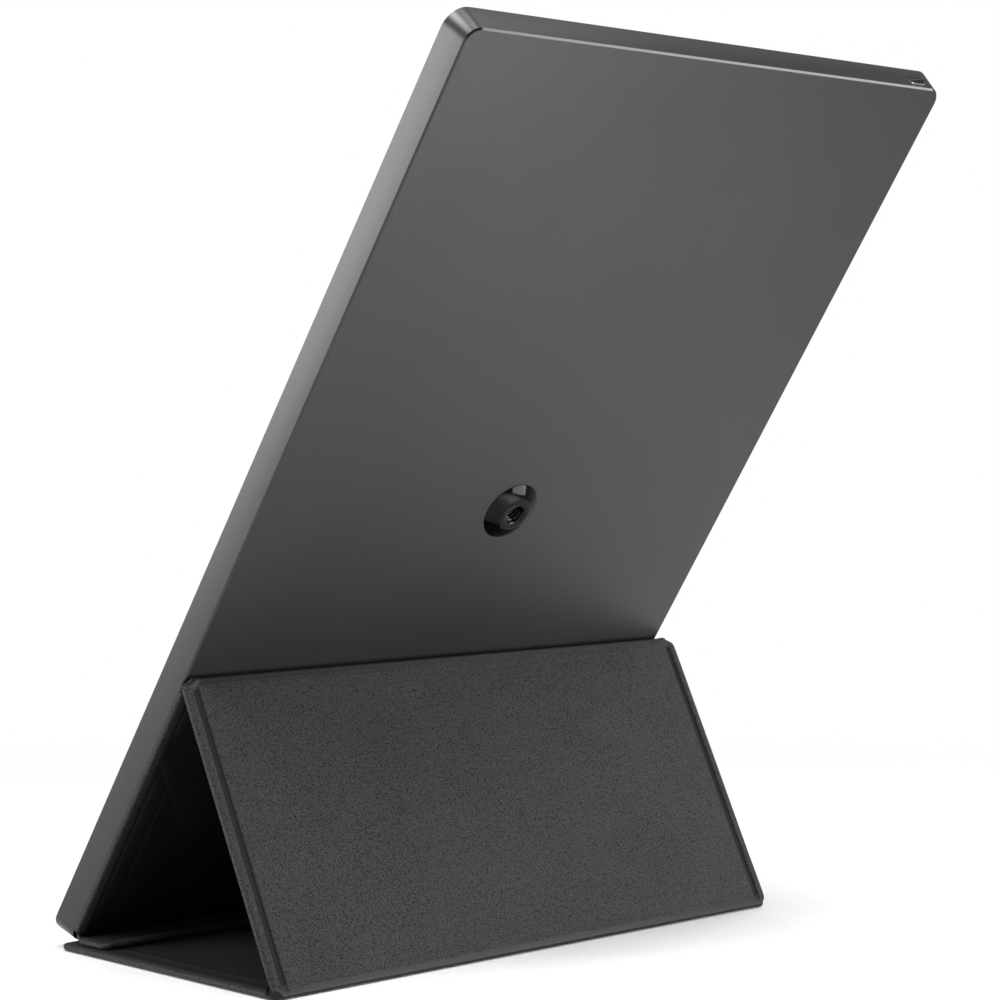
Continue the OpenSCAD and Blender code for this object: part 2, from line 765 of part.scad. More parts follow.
module rear_board() {
    color(greyboard) in_rear() translate([0, crease_reach, 0])
        panel_layer(cover_w, rear_board_len, between_folds, skin_t, board_t);
}

module rear_lining() {
    color(felt) in_rear() translate([0, crease_reach, 0])
        panel_lining(cover_w, rear_board_len, between_folds, rear_lines);
}

module floor_skin() {
    color(leather) in_floor() panel_skin(cover_w, floor_board_len, fold_behind);
}

module floor_board() {
    color(greyboard) in_floor()
        panel_layer(cover_w, floor_board_len, fold_behind, skin_t, board_t, floor_magnet_spots);
}

module floor_lining() {
    color(felt) in_floor() panel_lining(cover_w, floor_board_len, fold_behind, floor_lines);
}

module floor_magnets() {
    color(steel) in_floor() panel_magnets(floor_magnet_spots);
}

module tab_skin() {
    color(leather) in_tab() translate([0, crease_reach, 0])
        panel_skin(inner_w, tab_board_len, fold_in_front);
}

module tab_board() {
    color(greyboard) in_tab() translate([0, crease_reach, 0])
        panel_layer(inner_w, tab_board_len, fold_in_front, skin_t, board_t, tab_magnet_spots);
}

module tab_lining() {
    color(felt) in_tab() translate([0, crease_reach, 0])
        panel_lining(inner_w, tab_board_len, fold_in_front, tab_lines);
}

module tab_magnets() {
    color(steel) in_tab() translate([0, crease_reach, 0]) panel_magnets(tab_magnet_spots);
}

// A fold without a board: two legs in line with the leather faces, round a bend on the fold's axis.
// The first leg joins the panel that carries it. The second stays clear of the next panel's end as that
// swings round the axis.
module fold_section(first, second) {
    outside = cover_t / 2;
    swing = crease_reach - lay_gap;
    circle(outside);
    rotate(first) translate([0, -outside]) square([crease_reach, crease_t]);
    rotate(second) translate([0, outside - crease_t])
        square([sqrt(swing * swing - outside * outside), crease_t]);
}

module ridge_crease() {
    color(leather) translate([0, ridge_y, ridge_z]) along_x(inner_w - 2 * crease_trim)
        fold_section(180 + back_angle, -heel_angle);
}

module heel_crease() {
    color(leather) translate([0, heel_y, heel_z]) along_x(cover_w - 2 * crease_trim)
        fold_section(180 - heel_angle, 180);
}

// The fold at the monitor's foot turns round an axis on the lined side
module front_crease() {
    mid = cover_t / 2;
    far = 4 * cover_t;
    color(leather) translate([0, fold_y, fold_z]) along_x(inner_w - 2 * crease_trim) {
        rotate(back_angle) translate([-eps, mid - crease_t / 2]) square([crease_reach + eps, crease_t]);
        translate([-eps, -mid - crease_t / 2]) square([crease_reach - lay_gap + eps, crease_t]);
        difference() {
            circle(mid + crease_t / 2);
            circle(mid - crease_t / 2);
            polygon([
                [0, 0], far * [cos(90 + back_angle), sin(90 + back_angle)], far * [1, 1], far * [1, -1],
                [0, -far]
            ]);
        }
    }
}

rear_cover();
front_bezel();
lcd_cell();
diffuser_sheets();
light_guide();
reflector_sheet();
led_strip();
panel_tray();
timing_board();
main_board();
shield_can();
usb_c_sleeve();
usb_c_tongue();
display_flex();
button_board();
tact_switches();
rocker_pin();
tripod_insert();
tripod_bracket();
tripod_screws();
board_screws();
monitor_magnets();
power_button();
menu_button();
rocker_key();
inner_skin();
inner_board();
inner_lining();
inner_magnets();
ridge_crease();
front_crease();
rear_skin();
rear_board();
rear_lining();
heel_crease();
floor_skin();
floor_board();
floor_lining();
floor_magnets();
tab_skin();
tab_board();
tab_lining();
tab_magnets();
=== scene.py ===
"""Portable monitor in portrait on its folded leather cover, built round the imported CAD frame."""

import json
import math

import bmesh
import bpy
from mathutils import Matrix, Quaternion, Vector


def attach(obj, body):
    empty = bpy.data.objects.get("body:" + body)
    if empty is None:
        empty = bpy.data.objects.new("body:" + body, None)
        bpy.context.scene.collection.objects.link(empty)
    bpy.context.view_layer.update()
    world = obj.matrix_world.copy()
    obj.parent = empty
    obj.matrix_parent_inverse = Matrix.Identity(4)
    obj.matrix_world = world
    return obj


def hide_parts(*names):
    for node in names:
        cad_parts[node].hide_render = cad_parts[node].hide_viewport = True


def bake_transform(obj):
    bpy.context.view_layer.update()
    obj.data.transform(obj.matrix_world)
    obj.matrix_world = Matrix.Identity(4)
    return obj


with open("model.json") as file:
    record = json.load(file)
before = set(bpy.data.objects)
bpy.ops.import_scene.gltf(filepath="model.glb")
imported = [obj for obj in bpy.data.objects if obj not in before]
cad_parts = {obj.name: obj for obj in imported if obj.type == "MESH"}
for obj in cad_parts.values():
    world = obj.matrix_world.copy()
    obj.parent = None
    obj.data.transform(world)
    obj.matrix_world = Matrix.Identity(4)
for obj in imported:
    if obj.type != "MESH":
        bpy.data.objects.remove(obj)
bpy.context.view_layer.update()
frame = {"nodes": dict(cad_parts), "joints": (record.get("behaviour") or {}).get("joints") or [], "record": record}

MM = 0.001

# ---- Sizes, in millimetres, as in the part's source ----

MONITOR_H = 360
MONITOR_W = 227
MONITOR_T = 9.2
MONITOR_X = 2.3  # how far the monitor sits off the cover's middle
SIDE_INSET = 2.4  # how much smaller the back is than the screen side, at each edge
CHAMFER = 0.6
CORNER_R = 7.5
WALL = 1.2
RIM_LIP = 0.1
BEZEL_T = 1.2
PICTURE = (-87.6, 7.9, 106.0, 352.1)  # left, low, right, high

DATA_SOCKET_X = -99.9
DATA_SOCKET_DEPTH = 3.5
DATA_SOCKET_MOUTH = 358.4
SLEEVE_W = 8.94
SLEEVE_T = 3.26
KEY_DEPTH = 4
KEY_GAP = 0.2
KEY_T = 2.2
KEYS = ((-89.5, 12), (-69.5, 12), (-45.5, 20))  # middle and length

CONE_R = 11
FACE_R = 6.6
CONE_H = 2.8
CONE_UP = 181.3
SCREW_R = 3.175

COVER_W = 232.8
INNER_W = 229.8
COVER_T = 2.3
FLOOR_LEN = 117.6
REAR_LEN = 106.0
INNER_LEN = 110
TAB_LEN = 17
REACH = 3  # from a fold's axis to the end of a panel
LAY_GAP = 0.3

ARC = 16  # segments in a rounded corner


# ---- Places ----


def joint(name):
    return next(j for j in frame["joints"] if j["name"] == name)


def fold_axis(name):
    """Y and Z of a fold's axis, in millimetres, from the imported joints."""
    return Vector(joint(name)["pos_m"][1:]) / MM


RIDGE = fold_axis("ridge_fold")
HEEL = fold_axis("heel_fold")
FRONT = fold_axis("tab_fold")
HEEL_ANGLE = math.degrees(math.atan2(RIDGE.y - HEEL.y, HEEL.x - RIDGE.x))
UP_THE_BACK = Vector(joint("power_press")["axis"][1:])
OFF_THE_BACK = Vector((UP_THE_BACK.y, -UP_THE_BACK.x))
LEAN = math.degrees(math.atan2(UP_THE_BACK.x, UP_THE_BACK.y))


def place(x, y, z, turn=0.0, drop=0.0):
    """A frame at that point, turned about X, with its floor dropped below the point."""
    spin = Matrix.Rotation(math.radians(turn), 4, "X")
    there = Matrix.Translation((x * MM, y * MM, z * MM))
    return there @ spin @ Matrix.Translation((0, 0, -drop * MM))


def side_inset(depth):
    """How far the tapered side stands in at that depth from the back face."""
    return SIDE_INSET * (1 - depth / MONITOR_T)


def back_foot():
    """Where the back face's lower end would meet the monitor's end, in Y and Z."""
    rise = side_inset(CHAMFER) * UP_THE_BACK.y + CHAMFER * UP_THE_BACK.x
    z = COVER_T + LAY_GAP - rise
    off = LAY_GAP + COVER_T
    up = (FRONT.y - z + off * UP_THE_BACK.x) / UP_THE_BACK.y
    return FRONT - up * UP_THE_BACK - off * OFF_THE_BACK


ON_MONITOR = place(MONITOR_X, *back_foot(), turn=90 - LEAN)
ON_FLOOR = place(0, -FLOOR_LEN / 2, 0)
ON_REAR = place(0, *HEEL, turn=180 - HEEL_ANGLE, drop=COVER_T / 2)
ON_INNER = place(0, *RIDGE, turn=270 - LEAN, drop=COVER_T / 2)
ON_TAB = place(0, FRONT.x, FRONT.y - COVER_T)


# ---- Modelling by hand ----


def alone(obj):
    bpy.ops.object.select_all(action="DESELECT")
    obj.select_set(True)
    bpy.context.view_layer.objects.active = obj


def edit(obj):
    alone(obj)
    bpy.ops.object.mode_set(mode="EDIT")
    bpy.ops.mesh.select_mode(type="VERT")


def leave():
    bpy.ops.object.mode_set(mode="OBJECT")


def nothing():
    bpy.ops.mesh.select_all(action="DESELECT")


def everything():
    bpy.ops.mesh.select_all(action="SELECT")


def pick(obj, kind, test):
    """Selects the edges whose direction, or the faces whose normal, passes the test."""
    bpy.ops.mesh.select_mode(type=kind)
    nothing()
    mesh = bmesh.from_edit_mesh(obj.data)
    mesh.normal_update()
    for part in mesh.edges if kind == "EDGE" else mesh.faces:
        way = part.verts[1].co - part.verts[0].co if kind == "EDGE" else part.normal
        if test(way):
            part.select_set(True)
    bmesh.update_edit_mesh(obj.data)


def begin(name):
    """A new object with an empty mesh, open for modelling."""
    bpy.ops.mesh.primitive_plane_add(size=1)
    obj = bpy.context.object
    obj.name = obj.data.name = name
    edit(obj)
    everything()
    bpy.ops.mesh.delete(type="VERT")
    return obj


def outline(left, low, right, high, z, radius):
    """A flat rectangle with round corners, added to the open mesh and left selected."""
    nothing()
    middle = Vector(((left + right) / 2, (low + high) / 2, z)) * MM
    bpy.ops.mesh.primitive_plane_add(size=1, location=middle)
    bpy.ops.transform.resize(
        value=((right - left) * MM, (high - low) * MM, 1), center_override=middle
    )
    bpy.ops.mesh.bevel(offset=radius * MM, segments=ARC, affect="VERTICES", profile=0.5)


def plate(name, box, low, high, radius):
    """A flat plate with round corners, left open for modelling."""
    obj = begin(name)
    outline(*box, low, radius)
    bpy.ops.mesh.extrude_region_move(
        TRANSFORM_OT_translate={"value": (0, 0, (high - low) * MM)}
    )
    everything()
    bpy.ops.mesh.normals_make_consistent(inside=False)
    return obj


def stepped(obj, side, steps):
    """Shapes a plate's upper or lower face by steps: how far set in, and how far pulled out."""
    pick(obj, "FACE", lambda normal: normal.z * side > 0.99)
    for by, pull in steps:
        if by:
            bpy.ops.mesh.inset(thickness=by * MM, depth=pull * MM)
        else:
            bpy.ops.mesh.extrude_region_move(
                TRANSFORM_OT_translate={"value": (0, 0, side * pull * MM)}
            )


def lofted(name, sections):
    """A skin over rounded rectangles (left, low, right, high, z, radius), closed over the last."""
    obj = begin(name)
    count = 4 * (ARC + 1)  # points in each ring
    for section in sections:
        outline(*section)
        bpy.ops.mesh.delete(type="ONLY_FACE")
    mesh = bmesh.from_edit_mesh(obj.data)
    points = list(mesh.verts)
    loops = [points[k : k + count] for k in range(0, len(points), count)]
    order = ring_order(loops[0])
    loops = [[loop[k] for k in order] for loop in loops]
    for low, high in zip(loops, loops[1:]):
        for k in range(count):
            mesh.faces.new((low[k - 1], low[k], high[k], high[k - 1]))
    mesh.faces.new(loops[-1])
    bmesh.update_edit_mesh(obj.data)
    everything()
    bpy.ops.mesh.normals_make_consistent(inside=False)
    leave()
    return obj


def ring_order(loop):
    """The numbers of a ring's points, walked round it from edge to edge."""
    numbers = {point: k for k, point in enumerate(loop)}
    walked, before = [loop[0]], None
    while len(walked) < len(loop):
        now = walked[-1]
        after = next(
            e.other_vert(now) for e in now.link_edges if e.other_vert(now) is not before
        )
        walked.append(after)
        before = now
    return [numbers[point] for point in walked]


def set_in(box, by):
    left, low, right, high = box
    return left + by, low + by, right - by, high - by


def use(obj, kind, **settings):
    """A modifier, applied."""
    alone(obj)
    made = obj.modifiers.new(kind.lower(), kind)
    for key, value in settings.items():
        setattr(made, key, value)
    bpy.ops.object.modifier_apply(modifier=made.name)


def cut(obj, cutter):
    use(obj, "BOOLEAN", object=cutter, operation="DIFFERENCE", solver="EXACT")
    bpy.data.objects.remove(cutter)


def join(obj, other):
    alone(obj)
    other.select_set(True)
    bpy.ops.object.join()


def smooth(obj, angle):
    alone(obj)
    bpy.ops.object.shade_smooth_by_angle(angle=math.radians(angle))


def put(obj, where):
    """Moves a piece that was modelled at the origin to its place, with the place in its mesh."""
    alone(obj)
    obj.matrix_world = where
    bpy.ops.object.transform_apply(location=True, rotation=True, scale=True)


def slot_block(x, y, z, width, thick):
    """A block along Y with round ends, to cut a slot in an edge."""
    reach = 9  # goes through the wall on one side and the air on the other
    obj = begin("slot_block")
    middle = Vector((x, y, z)) * MM
    bpy.ops.mesh.primitive_cube_add(size=1, location=middle)
    bpy.ops.transform.resize(
        value=(width * MM, reach * MM, thick * MM), center_override=middle
    )
    pick(obj, "EDGE", lambda along: abs(along.y) > abs(along.x) + abs(along.z))
    nearly_half = 0.499
    bpy.ops.mesh.bevel(offset=thick * MM * nearly_half, segments=12, affect="EDGES")
    leave()
    return obj


def drawn(name, points):
    """A line through the points, in millimetres, drawn by extruding from the first."""
    obj = begin(name)
    bpy.ops.mesh.primitive_plane_add(size=1, location=Vector(points[0]) * MM)
    bpy.ops.mesh.merge(type="CENTER")
    for before, after in zip(points, points[1:]):
        step = (Vector(after) - Vector(before)) * MM
        bpy.ops.mesh.extrude_vertices_move(TRANSFORM_OT_translate={"value": step})
    return obj


# ---- Materials ----


def linear(code):
    """An sRGB hex colour as linear light."""
    parts = [int(code[k : k + 2], 16) / 255 for k in (1, 3, 5)]
    return [c / 12.92 if c <= 0.04045 else ((c + 0.055) / 1.055) ** 2.4 for c in parts] + [1]


def add(tree, kind, sockets=(), **settings):
    """A node with its settings, and its sockets given as values or linked."""
    made = tree.nodes.new("ShaderNode" + kind)
    for key, value in settings.items():
        setattr(made, key, value)
    for key, value in dict(sockets).items():
        if isinstance(value, bpy.types.NodeSocket):
            tree.links.new(value, made.inputs[key])
        else:
            made.inputs[key].default_value = value
    return made


def begin_material(name):
    material = bpy.data.materials.new(name)
    material.use_nodes = True
    tree = material.node_tree
    shader = tree.nodes["Principled BSDF"]
    where = add(tree, "TexCoord").outputs["Object"]
    return material, tree, shader, where


def grained(
    name, dark, light, grain, rough, metallic=0.0, depth=0.01, ior=1.5, patches=25, **sockets
):
    """A surface with fine grain of that size in mm over broad, faint patches of tone and gloss."""
    material, tree, shader, where = begin_material(name)
    fine = add(
        tree, "TexNoise", {"Vector": where, "Scale": 1 / (grain * MM), "Detail": 3.0}
    ).outputs["Fac"]
    broad = add(
        tree, "TexNoise", {"Vector": where, "Scale": 1 / (patches * MM), "Detail": 2.0}
    ).outputs["Fac"]
    mixed = add(tree, "Math", {0: fine, 1: broad}, operation="ADD").outputs[0]
    swing = {0: mixed, 1: 0.7, 2: 1.3}  # the sum of the two noises hardly leaves this range
    tone = add(tree, "MapRange", swing).outputs[0]
    colour = add(
        tree, "Mix", {"Factor": tone, "A": linear(dark), "B": linear(light)}, data_type="RGBA"
    )
    tree.links.new(colour.outputs["Result"], shader.inputs["Base Color"])
    gloss = add(tree, "MapRange", {**swing, 3: rough[0], 4: rough[1]}).outputs[0]
    tree.links.new(gloss, shader.inputs["Roughness"])
    bump = add(tree, "Bump", {"Height": fine, "Strength": 0.5, "Distance": depth * MM})
    tree.links.new(bump.outputs["Normal"], shader.inputs["Normal"])
    shader.inputs["Metallic"].default_value = metallic
    if metallic < 0.5:
        shader.inputs["IOR"].default_value = ior
    for key, value in sockets.items():
        shader.inputs[key.replace("_", " ")].default_value = value
    return material


def pebbled_leather(name, dark, light, rough, depth):
    """PU leather, embossed with a fine pebble: matt, with soft glints on the pebbles' tops, where it is glossier.
    The tops' colour is also painted lighter and the hollows' darker: painted highlight and shade on the pebbles.
    """
    material, tree, shader, where = begin_material(name)
    # Pebbles are about 0.3 mm across; 0.45 mm is the finest that shows in the picture.
    pebble_size, shift = 0.45 * MM, 0.3 * MM
    warped = add(
        tree, "TexNoise", {"Vector": where, "Scale": 1600.0, "Detail": 1.0}
    ).outputs["Color"]
    shifted = add(
        tree, "VectorMath", {0: warped, "Scale": shift}, operation="SCALE"
    ).outputs[0]
    at = add(tree, "VectorMath", {0: where, 1: shifted}).outputs[0]
    cells = add(
        tree, "TexVoronoi", {"Vector": at, "Scale": 1 / pebble_size, "Randomness": 1.0},
        feature="SMOOTH_F1",
    ).outputs["Distance"]
    pebble = add(tree, "MapRange", {0: cells, 1: 0.1, 2: 0.7, 3: 1.0, 4: 0.0}).outputs[0]
    crumple = add(
        tree, "TexNoise", {"Vector": where, "Scale": 1900.0, "Detail": 2.0}
    ).outputs["Fac"]
    height = add(
        tree, "Math", {0: crumple, 1: 0.8, 2: pebble}, operation="MULTIPLY_ADD"
    ).outputs[0]
    broad = add(tree, "TexNoise", {"Vector": where, "Scale": 30.0, "Detail": 2.0}).outputs["Fac"]
    # The colour follows the pebbles' height: the lighter tops are painted highlight, the darker hollows painted
    # shade.
    tone = add(tree, "MapRange", {0: height, 1: 0.4, 2: 1.3}).outputs[0]
    tint = add(tree, "Math", {0: broad, 1: 0.3, 2: tone}, operation="MULTIPLY_ADD").outputs[0]
    colour = add(tree, "ValToRGB", {"Fac": tint})
    colour.color_ramp.elements[0].position = 0.2
    colour.color_ramp.elements[0].color = linear(dark)
    colour.color_ramp.elements[1].position = 1.0
    colour.color_ramp.elements[1].color = linear(light)
    gloss = add(tree, "MapRange", {0: tone, 3: rough[0], 4: rough[1]}).outputs[0]
    bump = add(tree, "Bump", {"Height": height, "Strength": 0.8, "Distance": depth * MM})
    for key, value in (
        ("Base Color", colour.outputs["Color"]),
        ("Roughness", gloss),
        ("Normal", bump.outputs["Normal"]),
    ):
        tree.links.new(value, shader.inputs[key])
    shader.inputs["IOR"].default_value = 1.48
    shader.inputs["Specular IOR Level"].default_value = 0.22
    shader.inputs["Sheen Weight"].default_value = 0.02
    shader.inputs["Sheen Roughness"].default_value = 0.5
    return material


ANODISED = grained(
    # Aluminium, bead-blasted and anodised dark grey: a dull satin with an even, very fine tooth.
    # The tooth is under 0.1 mm and is drawn at 0.5 mm so that it shows at all.
    "bead_blasted_anodised_aluminium", "#39393a", "#3d3d3e", 0.5, (0.33, 0.37),
    metallic=0.8, depth=0.005, patches=60,
)
CUT_EDGE = grained(
    # The same aluminium where a diamond tool cut the chamfer, dyed as dark: it mirrors the room,
    # dark beside the floor and a thin bright line where it catches a lamp.
    "diamond_cut_anodised_aluminium", "#3a3b3c", "#3f4041", 0.6, (0.12, 0.16),
    metallic=1.0, depth=0.001,
)
GLOSS_BLACK = grained(
    # Steel turned on a lathe and plated black: deep gloss with crisp reflections.
    "turned_black_plated_steel", "#030304", "#050506", 0.4, (0.06, 0.1), depth=0.001, ior=1.22,
)
LEATHER = pebbled_leather("pebbled_pu_leather", "#050505", "#2f2f2f", (0.66, 0.46), 0.12)
# Where it is drawn round a fold its pebbles are stretched flat: smoother, with a soft line of light. Its darker
# colour is painted shade on the fold's bend.
STRETCHED_SHADED_LEATHER = pebbled_leather(
    "stretched_shaded_pu_leather", "#0a0a0a", "#111111", (0.42, 0.36), 0.015
)
# The same leather where a hot bar pressed it: its pebbles flattened and smoother. Its near-black colour is partly
# the pressing's own darkening and partly painted shade in the groove.
PRESSED_SHADED_LEATHER = pebbled_leather("hot_pressed_shaded_pu_leather", "#020202", "#040404", (0.7, 0.6), 0.03)
LINING = grained(
    # Suedette, pressed by hot bars: nearly black, with a weak velvety sheen.
    "pressed_suedette_lining", "#060606", "#0a0a0a", 0.45, (0.5, 0.62), depth=0.04,
    Sheen_Weight=0.03, Sheen_Roughness=0.35, Specular_IOR_Level=0.3,
)
BY_SLOT = {
    "shell_metal": ANODISED,
    # ABS, spark-eroded mould: black with a dry, even texture.
    "bezel_plastic": grained(
        "moulded_black_abs", "#0e0e0f", "#161617", 0.35, (0.42, 0.55), depth=0.02
    ),
    # Glass cell under an anti-glare film: dark and hazy, never a mirror.
    "screen_glass": grained(
        "anti_glare_polariser_film", "#060709", "#0a0b0e", 0.3, (0.24, 0.3), depth=0.002,
        ior=1.52, patches=120,
    ),
    # PET film, extruded and coated white: chalky and even.
    "white_film": grained(
        "coated_white_pet_film", "#e4e4e0", "#f0f0ec", 0.5, (0.4, 0.55), depth=0.004
    ),
    # Acrylic, cast and dotted on its back: clear with a faint blue edge.
    "clear_acrylic": grained(
        "cast_acrylic", "#dfe9ee", "#eef5f8", 2.0, (0.05, 0.1), depth=0.001, ior=1.49,
        Transmission_Weight=0.6,
    ),
    # Silicone over the LED chips: pale yellow and waxy.
    "led_resin": grained(
        "yellow_silicone_resin", "#d8c46a", "#efe3a2", 0.8, (0.3, 0.45), depth=0.02
    ),
    # Sheet steel, stamped and zinc-plated: grey with faint spangle.
    "zinc_steel": grained(
        "zinc_plated_sheet_steel", "#83868a", "#a0a3a7", 1.6, (0.3, 0.45), metallic=1.0, depth=0.004
    ),
    # Glass-fibre board under solder mask: deep green with a soft gloss.
    "circuit_board": grained(
        "solder_masked_fr4", "#0b3a20", "#12502d", 0.9, (0.3, 0.42), depth=0.015, ior=1.55
    ),
    # Stainless steel, stamped and tumbled: bright, with small scuffs.
    "socket_steel": grained(
        "stamped_stainless_steel", "#8e9094", "#abadb0", 0.5, (0.2, 0.34), metallic=1.0, depth=0.004
    ),
    # Liquid crystal polymer, moulded: dead black and slightly fibrous.
    "contact_plastic": grained(
        "moulded_black_lcp", "#101010", "#1b1b1b", 0.3, (0.45, 0.6), depth=0.01
    ),
    # Polyimide film over copper: amber with a soft gloss.
    "flex_film": grained(
        "polyimide_film", "#8a5a20", "#b27a30", 1.2, (0.25, 0.38), depth=0.006, ior=1.7
    ),
    "gloss_black_steel": GLOSS_BLACK,
    # Steel screws, black-oxided: dark with oily highlights.
    "black_steel": grained(
        "black_oxide_steel", "#1b1b1c", "#2b2b2d", 0.3, (0.3, 0.42), metallic=0.9, depth=0.006
    ),
    # Sintered magnet, nickel-plated: bright with a faint orange peel.
    "magnet_nickel": grained(
        "nickel_plated_magnet", "#a9a8a2", "#c2c1bb", 0.9, (0.18, 0.28), metallic=1.0, depth=0.006
    ),
    # ABS keys, moulded and finely eroded: a touch glossier than the bezel.
    "key_plastic": grained("moulded_key_abs", "#161618", "#1f1f21", 0.3, (0.34, 0.44), depth=0.012),
    "cover_leather": LEATHER,
    # Grey board, pressed from pulp: matt with short fibres.
    "grey_board": grained("pressed_grey_board", "#6f6b64", "#8a867e", 0.7, (0.8, 0.9), depth=0.04),
    "cover_lining": LINING,
}
GOLD = grained(
    # Copper pads, gold-flashed: small warm glints.
    "gold_flashed_contact", "#c79a4a", "#dab466", 0.4, (0.2, 0.3), metallic=1.0, depth=0.002
)

NODE_SLOTS = {part["node"]: part["material_slot"] for part in frame["record"]["subparts"]}


def finish_piece(obj, slot, *materials):
    """Gives a piece its materials: those named, or else the slot's own."""
    obj.data.materials.clear()
    for material in materials or (BY_SLOT[slot],):
        obj.data.materials.append(material)


# ---- Monitor ----


def monitor_box(inset):
    """The monitor's outline on the screen side, set in by that much."""
    return (-MONITOR_W / 2 + inset, inset, MONITOR_W / 2 - inset, MONITOR_H - inset)


def rear_shell():
    """The tapered shell with its cut chamfer, open to the screen side."""
    foot = side_inset(CHAMFER)
    flare, lip = 0.08, 0.3  # the rim's side stands in by the flare, and upright over the lip
    rim, soft = 0.12, 0.15  # widths of the rim's sloped outer edge and of its inner one
    obj = plate(
        "rear_shell", monitor_box(flare), MONITOR_T - lip, MONITOR_T - flare, CORNER_R - flare
    )
    stepped(obj, -1, ((foot - flare, MONITOR_T - lip - CHAMFER), (CHAMFER, CHAMFER)))
    stepped(
        obj, 1,
        (
            (rim, flare), (WALL - flare - rim - soft, 0), (soft, -soft),
            (side_inset(WALL), WALL + soft - MONITOR_T),
        ),
    )
    leave()
    gap = 0.1
    bpy.ops.mesh.primitive_cylinder_add(
        vertices=96, radius=(CONE_R + gap) * MM, depth=6 * MM, location=(0, CONE_UP * MM, 0)
    )
    cut(obj, bpy.context.object)
    mouth = (SLEEVE_W + 2 * gap, SLEEVE_T + 2 * gap)
    cut(obj, slot_block(DATA_SOCKET_X, MONITOR_H, DATA_SOCKET_DEPTH, *mouth))
    for x, length in KEYS:
        cut(obj, slot_block(x, 0, KEY_DEPTH, length + 2 * KEY_GAP, KEY_T + 2 * KEY_GAP))
    finish_piece(obj, "shell_metal", ANODISED, CUT_EDGE)
    for face in obj.data.polygons:
        # The chamfer's faces lie between the back face and the side, and slope between the two.
        depth, tilt = face.center.z / MM, face.normal.z
        face.material_index = int(0.01 < depth < CHAMFER - 0.01 and -0.95 < tilt < -0.4)
    smooth(obj, 24)
    put(obj, ON_MONITOR)
    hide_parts("rear_cover")
    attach(obj, "monitor")


def bezel():
    """The thin plastic frame round the screen, with a softened inner edge."""
    top = MONITOR_T - RIM_LIP
    gap = WALL + side_inset(top - BEZEL_T) + 0.1
    soft = 0.2
    obj = plate("screen_bezel", monitor_box(gap), top - BEZEL_T, top - soft, CORNER_R - gap)
    stepped(obj, 1, ((soft, soft),))
    leave()
    slopes = ((0.15, 0.05), (0.5, 0.45))  # how far in towards the picture, and how far down
    wider = sum(by for by, down in slopes)
    opening = plate("opening", set_in(PICTURE, -wider), top, top + 1, wider + 0.3)
    stepped(opening, -1, (*slopes, (0, BEZEL_T)))
    leave()
    cut(obj, opening)
    smooth(obj, 40)
    finish_piece(obj, "bezel_plastic")
    put(obj, ON_MONITOR)
    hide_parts("front_bezel")
    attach(obj, "monitor")


def turned(name, points):
    """A body of revolution about Z through the origin, from (radius, height) in millimetres."""
    obj = drawn(name, [(r, 0, z) for r, z in points])
    everything()
    bpy.ops.mesh.spin(steps=96, angle=2 * math.pi, center=(0, 0, 0), axis=(0, 0, 1))
    everything()
    bpy.ops.mesh.remove_doubles(threshold=0.002 * MM)
    bpy.ops.mesh.normals_make_consistent(inside=False)
    leave()
    return obj


def camera_socket():
    """The cone that stands out of the back, with a real helical thread in its blind hole.
    Heights count from the back face into the monitor."""
    floor, top = 4.8, 5.1  # the hole's floor and the barrel's end
    flange_r, flange_t, barrel = 14, 1.1, SCREW_R + 3.2
    mouth = 0.6  # the countersink of the hole
    obj = turned(
        "camera_socket",
        [
            (0, floor), (SCREW_R - 0.4, floor), (SCREW_R, floor - 0.3), (SCREW_R, mouth - CONE_H),
            (SCREW_R + mouth - 0.1, 0.08 - CONE_H), (SCREW_R + mouth + 0.1, -CONE_H),
            (FACE_R - 0.12, -CONE_H), (FACE_R + 0.08, 0.08 - CONE_H), (CONE_R - 0.14, -0.26),
            (CONE_R, -0.12), (CONE_R, WALL), (flange_r, WALL), (flange_r, WALL + flange_t),
            (barrel, WALL + flange_t), (barrel, top), (0, top),
        ],
    )
    pitch, turns, crest, half, land = 1.27, 4.6, 2.66, 0.5, 0.08
    root = SCREW_R + 0.03  # just inside the wall
    first = mouth - CONE_H - 0.1
    thread = drawn(
        "thread",
        [
            (root, 0, first), (crest, 0, first + half - land), (crest, 0, first + half + land),
            (root, 0, first + 2 * half),
        ],
    )
    everything()
    bpy.ops.mesh.edge_face_add()
    bpy.ops.mesh.delete(type="ONLY_FACE")
    leave()
    use(
        thread, "SCREW", angle=2 * math.pi * turns, screw_offset=pitch * turns * MM, steps=250,
        render_steps=250, iterations=1, use_smooth_shade=False,
    )
    edit(thread)
    everything()
    bpy.ops.mesh.fill_holes(sides=8)
    everything()
    bpy.ops.mesh.normals_make_consistent(inside=False)
    leave()
    join(obj, thread)
    smooth(obj, 26)
    finish_piece(obj, "gloss_black_steel")
    put(obj, ON_MONITOR @ place(0, CONE_UP, 0))
    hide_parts("tripod_insert")
    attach(obj, "monitor")


def socket_contacts():
    """Twelve gold pads on each face of the data socket's tongue."""
    obj = begin("socket_contacts")
    across, length, thick, pitch, count = 0.25, 3.4, 0.03, 0.5, 12
    inside, off, soft = 3.2, 0.36, 0.01  # in from the mouth, off the tongue's middle, bevel
    for side in (-1, 1):
        for k in range(count):
            x = DATA_SOCKET_X + (k - (count - 1) / 2) * pitch
            at = Vector((x, DATA_SOCKET_MOUTH - inside, DATA_SOCKET_DEPTH + side * off)) * MM
            nothing()
            bpy.ops.mesh.primitive_cube_add(size=1, location=at)
            bpy.ops.transform.resize(
                value=(across * MM, length * MM, thick * MM), center_override=at
            )
            bpy.ops.mesh.bevel(offset=soft * MM, segments=1, affect="EDGES")
    leave()
    finish_piece(obj, "socket_steel", GOLD)
    put(obj, ON_MONITOR)
    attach(obj, "monitor")


# ---- Cover ----

